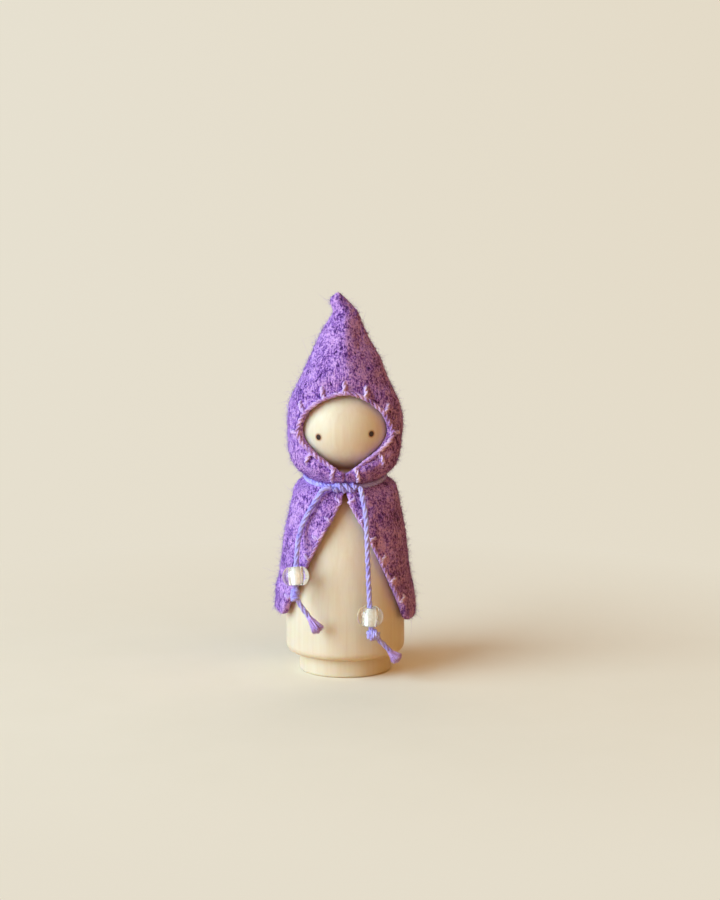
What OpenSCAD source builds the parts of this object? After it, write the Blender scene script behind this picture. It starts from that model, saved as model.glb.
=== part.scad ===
// Peg doll: a turned wooden figure in a hooded felt cape, tied at the neck with a beaded cord.
// Millimetres. +Z is up, the doll faces -Y, and the origin is the centre of its flat base.

/* [Peg] */
// Height of the turned peg, from its base to its crown
peg_h = 53.5; // [51:0.5:58]
// Diameter of the ball head
head_d = 17.3; // [16:0.1:18.5]
// Diameter of the neck
neck_d = 10.1; // [8.5:0.1:11]
// Length of the neck, from the shoulder of the bell-shaped body to the head
neck_l = 3.8; // [3.2:0.1:5]
// Largest diameter of the body
body_d = 21.7; // [19:0.1:22.5]
// Height of the body's largest diameter
belly_z = 6.5; // [5.5:0.1:9]
// Rounding of the body's lower edge
body_round = 1.5; // [0.8:0.1:1.9]
// Diameter of the stepped foot
foot_d = 16.8; // [13:0.1:17.5]
// Height of the stepped foot
foot_h = 3.5; // [2:0.1:3.6]
// Rounding of the foot's lower edge
foot_round = 0.4; // [0.2:0.1:0.8]

/* [Eyes] */
// Diameter of an eye dot
eye_d = 1; // [0.7:0.1:1.4]
// Distance between the eye dots
eye_gap = 9.5; // [7:0.1:11]
// Drop of the eyes below the middle of the head
eye_drop = 0.5; // [0:0.1:2]
// Drop of the left eye below the right one, as dotted by hand
eye_slope = 0.6; // [0:0.1:1]
// Depth of an eye dot in the wood
eye_depth = 0.4; // [0.3:0.1:0.8]

/* [Hooded cape] */
// Thickness of the felt
felt_t = 1.3; // [1.2:0.1:1.6]
// Room between the felt and the wood
fit_gap = 0.45; // [0.35:0.05:0.6]
// Height of the hood's point above the crown of the head
point_h = 15.9; // [12:0.1:20]
// Sideways lean of the hood's point
point_lean = 1.5; // [0:0.1:2.5]
// Width of the face opening
face_w = 15.2; // [12:0.1:16]
// Height of the face opening
face_h = 13.8; // [11:0.1:14.5]
// Height of the gathered collar, from the neck cord to the face opening
collar_h = 2.2; // [1.6:0.1:2.6]
// Length of the cape, from the neck cord to the hem
cape_l = 25.3; // [22:0.1:27]
// Lift of the hem at the left side, and its drop at the right
hem_lift = 0.6; // [0:0.1:1]
// Outer diameter of the cape at the hem
hem_d = 25.7; // [25.4:0.1:30]
// Angle of the front opening at the hem
front_angle = 114; // [90:1:124]
// Rounding of the front corners at the hem
corner_r = 2; // [1:0.5:4]

/* [Stitching] */
// Diameter of the stitching thread
thread_d = 0.55; // [0.4:0.05:0.6]
// Length of a blanket stitch, in from the felt's edge
leg_l = 2.2; // [1.5:0.1:2.6]
// Blanket stitches round the face opening
face_stitches = 11; // [7:1:13]
// Blanket stitches down each front edge
front_stitches = 6; // [4:1:7]
// Half width of a whip stitch over the back seam
seam_half_w = 0.9; // [0.7:0.1:1.2]
// Distance between the whip stitches
seam_pitch = 4; // [3.5:0.1:5]

/* [Cord and beads] */
// Diameter of the cord
cord_d = 0.95; // [0.8:0.05:1]
// Slope of the neck cord, down to the front
cord_tilt = 8; // [0:1:10]
// Length of the half knot at the front
knot_l = 3.6; // [3.2:0.1:4]
// Outer diameter of a glass bead
bead_d = 4.8; // [4.2:0.1:4.9]
// Length of a glass bead along its hole
bead_l = 3.3; // [2.6:0.1:3.4]
// Diameter of a bead's hole
bead_bore = 1.9; // [1.8:0.1:2.2]
// Diameter of a bead's flat ends
bead_end_d = 3; // [2.6:0.1:3.4]
// Outer diameter of a stopper knot
stop_d = 2.2; // [2:0.1:2.3]
// Width of a frayed cord end
fray_d = 2.1; // [1.6:0.1:2.4]

/* [Hidden] */
$fn = 96;

// Peg: the bell's profile runs from the shoulder (0) to the belly (1), and two powers shape it
bell_power = 2.1;
bell_round_power = 0.6;
bell_steps = 24;
arc_step = 15;
foot_arc_step = 30;
head_r = head_d / 2;
neck_r = neck_d / 2;
head_z = peg_h - head_r;
chin_z = head_z - sqrt(pow(head_r, 2) - pow(neck_r, 2));
shoulder_z = chin_z - neck_l;
eye_overrun = 1;

// Cape: heights named _z are along the upright felt, before the neck is pulled down at the front
felt_cols = 18;
felt_front_cols = 4;
felt_front_angle = 80;
felt_min_t = 0.8;
edge_gap = 0.5;
groove_z = (shoulder_z + chin_z) / 2;
groove_r = neck_r + fit_gap + felt_t;
hem_z = groove_z - cape_l;
hem_r = hem_d / 2;
hood_r = head_r + fit_gap + felt_t;
point_z = peg_h + point_h;
point_solid = 3.5;
cinch_reach = 9;
front_split_z = groove_z - edge_gap;
face_bottom_z = groove_z + collar_h;
face_top_z = face_bottom_z + face_h;
face_wide_share = 0.48;
face_wide_z = face_bottom_z + face_wide_share * face_h;
face_half = asin(face_w / 2 / (hood_r - felt_t));
front_half = front_angle / 2;
front_edge_shares = [1.12, 0.12];
// Outer outline of the felt: heights and radii as shares of the cape, the lower and the upper hood
cape_outline_shares = [[0, 1], [0.08, 0.985], [0.27, 0.875], [0.48, 0.75], [0.69, 0.615], [0.77, 0.545],
    [0.85, 0.455], [0.9, 0.37], [0.945, 0.245], [0.975, 0.1], [1, 0]];
low_hood_outline_shares = [[0.08, 0.18], [0.17, 0.42], [0.29, 0.65], [0.46, 0.835], [0.66, 0.953], [1, 1]];
top_hood_outline_shares = [[0.08, 0.99], [0.16, 0.965], [0.24, 0.905], [0.34, 0.79], [0.44, 0.69],
    [0.54, 0.585], [0.63, 0.475], [0.71, 0.385], [0.78, 0.31], [0.84, 0.26], [0.9, 0.215], [0.945, 0.16],
    [0.975, 0.1], [1, 0.04]];
lean_shares = [[0, 0], [0.5, 0.1], [0.71, 0.1], [0.78, 0.03], [0.84, -0.08], [0.9, 0.36], [0.945, 0.83],
    [0.965, 1], [1, 0.75]];
// Sharpness of the fold down the front of the hood: 1 is round
fold_powers = [[0, 1], [0.3, 1.05], [0.6, 1.3], [1, 1.4]];
felt_outline = concat(
    [for (p = cape_outline_shares) [hem_z + p[0] * cape_l, groove_r + p[1] * (hem_r - groove_r)]],
    [for (p = low_hood_outline_shares)
        [groove_z + p[0] * (head_z - groove_z), groove_r + p[1] * (hood_r - groove_r)]],
    [for (p = top_hood_outline_shares) [head_z + p[0] * (point_z - head_z), p[1] * hood_r]]);
// Heights of the rings that the felt is lofted through
cape_row_shares = [0.2, 0.4, 0.6, 0.74, 0.83, 0.9, 0.95, 0.975, 1];
face_row_shares = [0, 0.17, 0.38, 0.6, 0.8, 1];
arch_angles = [20, 40, 57, 72, 90];
point_row_shares = [0.1, 0.22, 0.36, 0.49, 0.6, 0.69, 0.77, 0.85, 0.92, 0.97];
felt_rows = concat(
    [for (a = [0, 45]) hem_z + corner_r * (1 - cos(a))],
    [for (s = concat([0], cape_row_shares)) hem_z + corner_r + s * (cape_l - corner_r)],
    [groove_z + collar_h / 2],
    [for (s = face_row_shares) face_bottom_z + s * (face_wide_z - face_bottom_z)],
    [for (a = arch_angles) face_wide_z + (face_top_z - face_wide_z) * sin(a)],
    [for (s = point_row_shares) face_top_z + s * (point_z - face_top_z)]);

// Stitching: places are fractions of the thread's and the felt's own sizes
thread_r = thread_d / 2;
stitch_back_share = 1.3;
stitch_proud_share = 0.3;
stitch_back = felt_t - stitch_back_share * thread_r;
stitch_proud = stitch_proud_share * thread_r;
thread_sides = 6;
face_stitch_end = 150;
front_stitch_shares = [0.12, 0.92];
seam_clear = 2.5;
seam_slant_share = 0.25;

// Cord: the ring round the neck, the half knot and the routes of the two tails
cord_r = cord_d / 2;
cord_bite = 0.1;
cord_sides = 8;
ring_r = groove_r + cord_r - cord_bite;
knot_turns = 1.5;
knot_rings = 19;
knot_slack = 0.1;
knot_helix_r = cord_r + knot_slack;
knot_half = asin(knot_l / 2 / ring_r);
knot_y = -groove_r - cord_r - knot_helix_r + cord_bite;
knot_z = groove_z - ring_r * sin(cord_tilt);
tail_left_route = [[-2.5, -8.4, 35], [-3.2, -8.4, 35], [-4.2, -8.6, 34.5], [-5, -8.9, 33.2],
    [-6, -8.9, 31.6], [-6.9, -8.8, 30], [-7.6, -8.7, 28.4], [-8.1, -9.1, 26.8], [-8.4, -10.1, 25.3],
    [-8.5, -10.9, 24.4], [-8.6, -11.3, 23.2], [-8.7, -11.6, 21.1], [-8.8, -11.9, 19],
    [-8.9, -12.2, 16.9], [-8.6, -12.4, 15.6], [-7.6, -12.5, 14], [-6.9, -12.5, 13], [-6.2, -12.5, 12]];
tail_right_route = [[2.5, -8.4, 35], [2.9, -8.6, 34.7], [3.2, -9.6, 33.2], [3.6, -10.5, 31.3],
    [3.8, -11.1, 29.3], [3.9, -11.5, 27.3], [4, -11.7, 25], [4.1, -11.9, 22.5], [4.2, -12.1, 20],
    [4.3, -12.3, 17.5], [4.4, -12.5, 15], [4.5, -12.7, 12.5], [4.6, -12.9, 10.6], [5, -12.8, 9.5],
    [6.1, -12.4, 8.1], [7.2, -12, 6.9], [8.2, -11.7, 5.7]];
bead_left_at = [-8.77, -11.81, 19.62];
bead_right_at = [4.5, -12.7, 12.5];
bead_left_lean = [-8, 4];
bead_right_lean = [6, -6];
stop_left_at = [-8.9, -12.25, 16.4];
stop_right_at = [5.05, -12.8, 9.15];
stop_right_axis = [1, 0, 0.3];
bead_left_axis = tail_left_route[10] - tail_left_route[13];
bead_right_axis = tail_right_route[6] - tail_right_route[11];
stop_left_axis = tail_left_route[12] - tail_left_route[13];
stop_turns = 3;
stop_pitch_share = 0.8;
fray_left_l = 3.1;
fray_right_l = 2.3;
fray_lobes = 8;
fray_lobe_sides = 3;
fray_lobe_share = 0.12;
fray_shares = [[0, 0.45], [0.35, 0.6], [0.7, 0.9], [0.92, 1], [1, 0.8]];

WOOD = "#e8d4b2";
BURNT = "#3a2216";
FELT = "#7c4fa8";
THREAD = "#c08cc8";
CORD = "#a294e2";
GLASS = "#eef0f2";

// General helpers
function unit(v) = v / norm(v);

// Radius of the wood at a height: bell body, neck, then ball head
function body_radius(z) = let (s = min(1, max(0, (shoulder_z - z) / (shoulder_z - belly_z))))
    neck_r + (body_d / 2 - neck_r) * pow(1 - pow(1 - s, bell_power), bell_round_power);
function wood_radius(z) = z < shoulder_z ? body_radius(z)
    : max(z < head_z ? neck_r : 0, sqrt(max(0, pow(head_r, 2) - pow(z - head_z, 2))));

// Half angle of the opening down the front of the felt, from the hem to the top of the face
function gap_half(z) = asin(edge_gap / 2 / lookup(z, felt_outline));
function corner_half(z) = let (d = max(0, hem_z + corner_r - z))
    (corner_r - sqrt(pow(corner_r, 2) - pow(d, 2))) / hem_r * 180 / PI;
function cape_half(z) = let (s = max(0, (front_split_z - z) / (front_split_z - hem_z)))
    gap_half(z) + corner_half(z)
    + (front_half - gap_half(z)) * s * (front_edge_shares[0] - front_edge_shares[1] * pow(s, 4));
function face_low_half(z) = let (s = (face_wide_z - z) / (face_wide_z - face_bottom_z))
    gap_half(z) + (face_half - gap_half(z)) * (1 - pow(s, 2));
function arch_half(z) = let (s = min(1, (z - face_wide_z) / (face_top_z - face_wide_z)))
    face_half * sqrt(1 - pow(s, 2));
function open_half(z) = z <= front_split_z ? cape_half(z) : z <= face_bottom_z ? gap_half(z)
    : z <= face_wide_z ? face_low_half(z) : arch_half(z);

// Point of the felt at an angle from the front, a height and a depth below its outer face
function felt_point(angle, z, depth) =
    let (share = max(0, (z - head_z) / (point_z - head_z)),
        pull = tan(cord_tilt) * max(0, 1 - abs(z - groove_z) / cinch_reach),
        full = lookup(z, felt_outline),
        sway = hem_lift * pow(max(0, (groove_z - z) / cape_l), 2),
        height = z - full * cos(angle) * pull - sway * sin(angle),
        inner = max(full - felt_t, wood_radius(height) + fit_gap),
        outer = max(full, inner + felt_min_t),
        r = outer - depth / felt_t * (outer - inner),
        side = sign(sin(angle)) * pow(abs(sin(angle)), lookup(share, fold_powers)))
    [r * side - point_lean * lookup(share, lean_shares), -r * cos(angle), height];

// Ring of felt points at a height, from the right front edge round the back to the left one
function felt_angle(half, j) = let (front = half + (felt_front_angle - half) * j / felt_front_cols,
        side_cols = felt_cols / 2 - felt_front_cols,
        side = felt_front_angle + (j - felt_front_cols) * (180 - felt_front_angle) / side_cols)
    j > felt_cols / 2 ? 360 - felt_angle(half, felt_cols - j) : j < felt_front_cols ? front : side;
function felt_ring(z, depth) = let (half = z < face_top_z ? open_half(z) : 0)
    [for (j = [0:felt_cols]) felt_point(felt_angle(half, j), z, depth)];

// Tube along a path, its rings turned from one to the next with the least twist
module tube(path, d, sides) {
    n = len(path);
    dirs = [for (i = [0:n - 1]) unit(path[min(i + 1, n - 1)] - path[max(i - 1, 0)])];
    start = unit(cross(dirs[0], abs(dirs[0].z) < 0.7 ? [0, 0, 1] : [0, 1, 0]));
    ups = [for (i = 0, up = start; i < n; i = i + 1,
        up = i < n ? unit(up - (up * dirs[i]) * dirs[i]) : up) up];
    points = [for (i = [0:n - 1]) for (k = [0:sides - 1]) let (a = 360 * k / sides)
        path[i] + d / 2 * (cos(a) * ups[i] + sin(a) * cross(dirs[i], ups[i]))];
    walls = [for (i = [0:n - 2]) for (k = [0:sides - 1])
        let (a = i * sides + k, b = i * sides + (k + 1) % sides)
        each [[a, a + sides, b + sides], [a, b + sides, b]]];
    last = (n - 1) * sides;
    caps = [for (k = [1:sides - 2]) each [[0, k, k + 1], [last, last + k + 1, last + k]]];
    polyhedron(points, concat(walls, caps));
}

// Moves children to a place with their +Z along a direction
module along(at, direction) {
    d = unit(direction);
    translate(at) rotate([0, acos(d.z), atan2(d.y, d.x)]) children();
}

// Wooden peg
module head_ball() {
    translate([0, 0, head_z]) sphere(r = head_r);
}

module turned_body() {
    edge_r = body_d / 2 - body_round;
    bell = [for (k = [0:bell_steps]) let (s = pow(1 - k / bell_steps, 2))
        let (z = shoulder_z - s * (shoulder_z - belly_z)) [body_radius(z), z]];
    lower_edge = [for (a = [-90:arc_step:0])
        [edge_r + body_round * cos(a), foot_h + body_round * (1 + sin(a))]];
    foot_edge = [for (a = [-90:foot_arc_step:0])
        [foot_d / 2 - foot_round + foot_round * cos(a), foot_round * (1 + sin(a))]];
    rotate_extrude() polygon(concat([[0, 0]], foot_edge, [[foot_d / 2, foot_h]], lower_edge, bell,
        [[neck_r, chin_z], [0, head_z]]));
}

module eye_core(side, top) {
    turn = asin(side * eye_gap / 2 / head_r);
    lift = asin((side * eye_slope / 2 - eye_drop) / head_r);
    translate([0, 0, head_z]) rotate([90 - lift, 0, turn])
        translate([0, 0, head_r - eye_depth]) cylinder(d = eye_d, h = eye_depth + top);
}

module peg_body() {
    color(WOOD) difference() {
        union() {
            head_ball();
            turned_body();
        }
        for (side = [-1, 1]) eye_core(side, eye_overrun);
    }
}

module eye(side) {
    color(BURNT) intersection() {
        head_ball();
        eye_core(side, eye_overrun);
    }
}

// Felt cape and hood in one piece, lofted through its rings
module hooded_cape() {
    cols = felt_cols;
    step = cols + 1;
    rows = len(felt_rows);
    open_rows = len([for (z = felt_rows) if (z < face_top_z) z]);
    inner_rows = len([for (z = felt_rows) if (z < point_z - point_solid) z]);
    base = rows * step;
    tip = base + inner_rows * step;
    points = concat(
        [for (z = felt_rows) each felt_ring(z, 0)],
        [for (i = [0:inner_rows - 1]) each felt_ring(felt_rows[i], felt_t)],
        [felt_point(0, point_z, felt_t / 2), felt_point(0, felt_rows[inner_rows], felt_t)]);
    function out(i, j) = i * step + (i >= open_rows ? j % cols : j);
    function in(i, j) = base + out(i, j);
    outside = [for (i = [0:rows - 2]) for (j = [0:cols - 1])
        each [[out(i, j), out(i + 1, j), out(i + 1, j + 1)], [out(i, j), out(i + 1, j + 1), out(i, j + 1)]]];
    inside = [for (i = [0:inner_rows - 2]) for (j = [0:cols - 1])
        each [[in(i, j), in(i + 1, j + 1), in(i + 1, j)], [in(i, j), in(i, j + 1), in(i + 1, j + 1)]]];
    front_edges = [for (i = [0:open_rows - 1])
        each [[out(i + 1, 0), out(i, 0), in(i, 0)], [out(i + 1, 0), in(i, 0), in(i + 1, 0)],
            [out(i, cols), out(i + 1, cols), in(i + 1, cols)], [out(i, cols), in(i + 1, cols), in(i, cols)]]];
    hem = [for (j = [0:cols - 1])
        each [[out(0, j), out(0, j + 1), in(0, j + 1)], [out(0, j), in(0, j + 1), in(0, j)]]];
    ends = [for (j = [0:cols - 1])
        each [[out(rows - 1, j), tip, out(rows - 1, j + 1)],
            [in(inner_rows - 1, j), in(inner_rows - 1, j + 1), tip + 1]]];
    color(FELT) polyhedron(points, concat(outside, inside, front_edges, hem, ends));
}

// Place on the felt from an edge point [angle, height]: a step along the edge, one inward and a depth
function off_edge(at, heading, ahead, inward, depth) =
    let (r = lookup(at[1], felt_outline),
        u = heading[0] * ahead - heading[1] * inward,
        v = heading[1] * ahead + heading[0] * inward)
    felt_point(at[0] + u / r * 180 / PI, at[1] + v, depth);

// Direction of an edge, unrolled, from one edge point to the next
function edge_heading(a, b) = let (r = lookup((a[1] + b[1]) / 2, felt_outline))
    unit([(b[0] - a[0]) * PI / 180 * r, b[1] - a[1]]);

// Blanket stitch: for each place the thread goes in over the felt, through it and back under the edge,
// and then runs along the edge to the next place. Every second edge point is a place for a stitch.
module blanket_stitch(edge) {
    n = len(edge);
    path = [for (i = [0:2:n - 1])
        let (at = edge[i], heading = edge_heading(edge[max(i - 1, 0)], edge[min(i + 1, n - 1)]),
            run = i + 1 < n ? edge[i + 1] : at)
        each concat(
            [off_edge(at, heading, 0, -stitch_proud, -stitch_proud),
                off_edge(at, heading, 0, leg_l, -stitch_proud),
                off_edge(at, heading, 0, leg_l, stitch_back),
                off_edge(at, heading, thread_r / 2, -thread_r, stitch_back)],
            i + 1 < n ? [off_edge(at, heading, thread_d, -thread_r, felt_t / 2),
                off_edge(run, heading, 0, -thread_r, felt_t / 2)] : [])];
    tube(path, thread_d, thread_sides);
}

// Edge of the face opening at an angle from its top, and of a cape front at a share of its length
function face_edge(t) = let (rise = abs(t) <= 90 ? face_top_z - face_wide_z : face_wide_z - face_bottom_z)
    let (z = face_wide_z + rise * cos(t)) [sign(t) * open_half(min(z, face_top_z)), z];
function front_edge(side, s) = let (z = hem_z + corner_r + s * (front_split_z - hem_z - corner_r))
    [side * cape_half(z), z];

module edge_stitching() {
    span = front_stitch_shares[1] - front_stitch_shares[0];
    front_steps = 2 * front_stitches - 2;
    face_steps = 2 * face_stitches - 2;
    rising = [for (k = [0:front_steps]) front_stitch_shares[0] + span * k / front_steps];
    falling = [for (k = [0:front_steps]) front_stitch_shares[1] - span * k / front_steps];
    color(THREAD) {
        blanket_stitch([for (s = rising) front_edge(-1, s)]);
        blanket_stitch([for (k = [0:face_steps]) face_edge(face_stitch_end * (2 * k / face_steps - 1))]);
        blanket_stitch([for (s = falling) front_edge(1, s)]);
    }
}

// Whip stitch over the back seam between two heights, slanting down from left to right
module whip_stitch(low, high) {
    count = max(2, floor((high - low) / seam_pitch));
    pitch = (high - low) / count;
    function place(side, z, depth) =
        felt_point(180 + side * seam_half_w / lookup(z, felt_outline) * 180 / PI, z, depth);
    path = [for (k = [0:count - 1]) let (z = high - k * pitch, drop = pitch * seam_slant_share)
        each [place(-1, z, -stitch_proud), place(1, z - drop, -stitch_proud),
            place(1, z - drop, stitch_back), place(-1, z - pitch, stitch_back)]];
    tube(path, thread_d, thread_sides);
}

module back_seam_stitching() {
    color(THREAD) {
        whip_stitch(hem_z, groove_z - seam_clear);
        whip_stitch(groove_z + seam_clear, point_z - point_solid - felt_t);
    }
}

// Cord round the neck, and the half knot in which its two ends twist round each other
module neck_cord() {
    color(CORD) translate([0, 0, groove_z]) rotate([cord_tilt, 0, 0]) rotate([0, 0, knot_half - 90])
        rotate_extrude(angle = 360 - 2 * knot_half) translate([ring_r, 0]) circle(d = cord_d);
}

module knot_strand(phase) {
    tube([for (k = [0:knot_rings - 1]) let (u = k / (knot_rings - 1), a = phase + 360 * knot_turns * u)
        [knot_l * (u - 1 / 2), knot_y + knot_helix_r * cos(a), knot_z + knot_helix_r * sin(a)]],
        cord_d, cord_sides);
}

module front_knot() {
    color(CORD) {
        knot_strand(0);
        knot_strand(180);
    }
}

module tail(route) {
    color(CORD) tube(route, cord_d, cord_sides);
}

// Glass bead: a rondelle with a round side and flat ends, on the straight stretch of its tail
module bead(at, direction, lean) {
    sag = (bead_d - bead_end_d) / 2;
    side_r = (pow(bead_l / 2, 2) + pow(sag, 2)) / (2 * sag);
    color(GLASS) along(at, direction) rotate([lean[0], lean[1], 0]) rotate_extrude() intersection() {
        translate([bead_d / 2 - side_r, 0]) circle(r = side_r);
        translate([bead_bore / 2, -bead_l / 2]) square([(bead_d - bead_bore) / 2, bead_l]);
    }
}

// Stopper knot: turns of cord side by side round a filled core
module stopper_knot(at, direction) {
    pitch = cord_d * stop_pitch_share;
    turn_r = stop_d / 2 - cord_r;
    first = -pitch * (stop_turns - 1) / 2;
    color(CORD) along(at, direction) rotate_extrude() {
        for (k = [0:stop_turns - 1]) translate([turn_r, first + k * pitch]) circle(d = cord_d);
        translate([0, first]) square([turn_r, pitch * (stop_turns - 1)]);
    }
}

// Frayed cord end: strands that splay out, with grooves between them
module frayed_end(route, l) {
    n = len(route);
    sides = fray_lobes * fray_lobe_sides;
    rings = len(fray_shares);
    points = [for (p = fray_shares) for (k = [0:sides - 1])
        let (a = 360 * k / sides, groove = fray_lobe_share * p[0] * (1 - cos(a * fray_lobes)),
            r = fray_d / 2 * p[1] * (1 - groove))
        [r * cos(a), r * sin(a), l * p[0]]];
    walls = [for (i = [0:rings - 2]) for (k = [0:sides - 1])
        let (a = i * sides + k, b = i * sides + (k + 1) % sides)
        each [[a, a + sides, b + sides], [a, b + sides, b]]];
    last = (rings - 1) * sides;
    caps = [for (k = [1:sides - 2]) each [[0, k, k + 1], [last, last + k + 1, last + k]]];
    color(CORD) along(route[n - 1], route[n - 1] - route[n - 2]) polyhedron(points, concat(walls, caps));
}

peg_body();
eye(-1);  // eye_left
eye(1);  // eye_right
hooded_cape();
edge_stitching();
back_seam_stitching();
neck_cord();
front_knot();
tail(tail_left_route);  // tail_left
tail(tail_right_route);  // tail_right
bead(bead_left_at, bead_left_axis, bead_left_lean);  // bead_left
bead(bead_right_at, bead_right_axis, bead_right_lean);  // bead_right
stopper_knot(stop_left_at, stop_left_axis);  // stopper_knot_left
stopper_knot(stop_right_at, stop_right_axis);  // stopper_knot_right
frayed_end(tail_left_route, fray_left_l);  // frayed_end_left
frayed_end(tail_right_route, fray_right_l);  // frayed_end_right
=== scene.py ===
"""Looks of the peg doll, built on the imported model.

Shapes are worked out in millimetres and degrees, and become metres where a mesh is made. Materials, the stage and
the camera are in metres.
"""
import math

import bmesh
import bpy
import numpy as np
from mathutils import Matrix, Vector, noise


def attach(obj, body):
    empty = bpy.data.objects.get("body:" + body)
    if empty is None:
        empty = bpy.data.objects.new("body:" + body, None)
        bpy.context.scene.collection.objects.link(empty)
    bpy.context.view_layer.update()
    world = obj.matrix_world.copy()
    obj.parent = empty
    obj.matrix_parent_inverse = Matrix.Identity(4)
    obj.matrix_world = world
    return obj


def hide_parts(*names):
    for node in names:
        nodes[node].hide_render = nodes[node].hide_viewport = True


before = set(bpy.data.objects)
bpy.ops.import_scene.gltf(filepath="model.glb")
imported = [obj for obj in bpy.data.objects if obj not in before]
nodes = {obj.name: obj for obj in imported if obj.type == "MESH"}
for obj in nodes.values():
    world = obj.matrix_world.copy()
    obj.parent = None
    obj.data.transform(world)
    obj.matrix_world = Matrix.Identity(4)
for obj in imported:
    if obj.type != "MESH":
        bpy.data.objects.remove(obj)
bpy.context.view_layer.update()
RNG = np.random.default_rng(11)
MM = 0.001
WELD = 2e-6
FULL_TURN = 2 * np.pi

# Values of the solids, except that FACE_LOW is about 0.5 mm higher here
HEAD_R, HEAD_Z, NECK_R, SHOULDER_Z, BELLY_Z, BODY_R = 8.65, 44.85, 5.05, 34.027, 6.5, 10.85
BELL_POWER, BELL_ROUND = 2.1, 0.6
EYE_X, EYE_DROP, EYE_SLOPE = 4.75, 0.5, 0.3
FELT_T, FIT_GAP, FELT_MIN_T = 1.3, 0.45, 0.8
GROOVE_Z, GROOVE_R, HOOD_R, POINT_Z = 35.927, 6.8, 10.4, 69.4
CAPE_L, HEM_R, CORNER_R, FRONT_HALF = 25.3, 12.85, 1.0, 57.0
HEM_Z = GROOVE_Z - CAPE_L
SPLIT_Z, FACE_LOW, FACE_WIDE, FACE_TOP = GROOVE_Z - 0.5, GROOVE_Z + 2.6, GROOVE_Z + 8.824, GROOVE_Z + 16
FACE_HALF_W = 7.6
FACE_HALF = math.degrees(math.asin(FACE_HALF_W / (HOOD_R - FELT_T)))
CORD_R, CORD_TILT = 0.475, math.radians(8)
BEAD_R, BEAD_L = 2.4, 3.3
BEAD_LEFT_AT, BEAD_LEFT_AXIS, BEAD_LEFT_SLIDE = (-8.77, -11.81, 19.62), (0.3, 0.9, 6.3), 2.5
TAIL_LEFT = [
    (-2.5, -8.4, 35), (-3.2, -8.4, 35), (-4.2, -8.6, 34.5), (-5, -8.9, 33.2), (-6, -8.9, 31.6), (-6.9, -8.8, 30),
    (-7.6, -8.7, 28.4), (-8.1, -9.1, 26.8), (-8.4, -10.1, 25.3), (-8.5, -10.9, 24.4), (-8.6, -11.3, 23.2),
    (-8.7, -11.6, 21.1), (-8.8, -11.9, 19), (-8.9, -12.2, 16.9), (-8.6, -12.4, 15.6), (-7.6, -12.5, 14),
    (-6.9, -12.5, 13), (-6.2, -12.5, 12)]
TAIL_RIGHT = [
    (2.5, -8.4, 35), (2.9, -8.6, 34.7), (3.2, -9.6, 33.2), (3.6, -10.5, 31.3), (3.8, -11.1, 29.3),
    (3.9, -11.5, 27.3), (4, -11.7, 25), (4.1, -11.9, 22.5), (4.2, -12.1, 20), (4.3, -12.3, 17.5), (4.4, -12.5, 15),
    (4.5, -12.7, 12.5), (4.6, -12.9, 10.6), (5, -12.8, 9.5), (6.1, -12.4, 8.1), (7.2, -12, 6.9), (8.2, -11.7, 5.7)]

# Outline of the felt, as shares of its heights and radii
CAPE_OUTLINE = [(0, 1), (0.08, 0.985), (0.27, 0.875), (0.48, 0.75), (0.69, 0.615), (0.77, 0.545), (0.85, 0.455),
                (0.9, 0.37), (0.945, 0.245), (0.975, 0.1), (1, 0)]
LOW_HOOD = [(0.08, 0.18), (0.17, 0.42), (0.29, 0.65), (0.46, 0.835), (0.66, 0.953), (1, 1)]
TOP_HOOD = [(0.08, 0.99), (0.16, 0.965), (0.24, 0.905), (0.34, 0.79), (0.44, 0.69), (0.54, 0.585), (0.63, 0.475),
            (0.71, 0.385), (0.78, 0.29), (0.84, 0.225), (0.9, 0.188), (0.936, 0.16), (0.96, 0.122), (0.975, 0.088),
            (0.985, 0.062), (0.994, 0.036), (1, 0)]
LEAN_SHARES = [(0, 0), (0.5, 0.1), (0.71, 0.1), (0.78, 0.03), (0.84, -0.08), (0.9, 0.36), (0.945, 0.77),
               (0.965, 0.86), (1, 0.8)]
FOLD_POWERS = [(0, 1), (0.3, 1.05), (0.6, 1.3), (1, 1.4)]

# Form of the felt: the cord's pull in front, the hem's sway, the point's lean and the rim's curl toward the head
PULL_REACH, PULL_ROUND = 9, 0.2
SWAY, LEAN, HEAD_CLEAR = 0.6, 1.5, 2
CURL_SHARE, CURL_GAP, CURL_MAX, CURL_REACH, CURL_RISE = 0.92, 0.08, 1.5, 2.2, 2
# Its openings: the gap where the edges meet, the bow of the front edges, the hem's corners and the face
SPLIT_GAP, EDGE_BOW, CORNER_OUT, FACE_POWER, ARCH_SIZE = 0.03, 0.12, 6, 1.7, 7.2
# Its faces: rounded edges, gathers at the neck, lumps (height, size, seed), and a ridge and a hollow below the point
EDGE_ROUND, OUTER_CUT, INNER_CUT, EDGE_HELD = 0.2, 0.28, 0.25, 0.6
GATHERS, GATHER_H, GATHER_AT, GATHER_REACH, GATHER_UNEVEN, GATHER_SLANT = 11, 0.5, 0.2, 2.4, 1.3, 0.25
LUMPS = ((0.24, 5.5, 3.0), (0.13, 1.7, 9.0), (0.1, 0.75, 5.0))
CREASE_RISE, CREASE_TOP, CREASE_FADE = 0.3, 0.85, 0.35
RIDGE_H, RIDGE_AT, RIDGE_ROUND, RIDGE_WIDE = 0.3, 10, 8, 17
HOLLOW_D, HOLLOW_AT, HOLLOW_WIDE = 0.35, 46, 22
PUSH_RISE = 0.25
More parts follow.
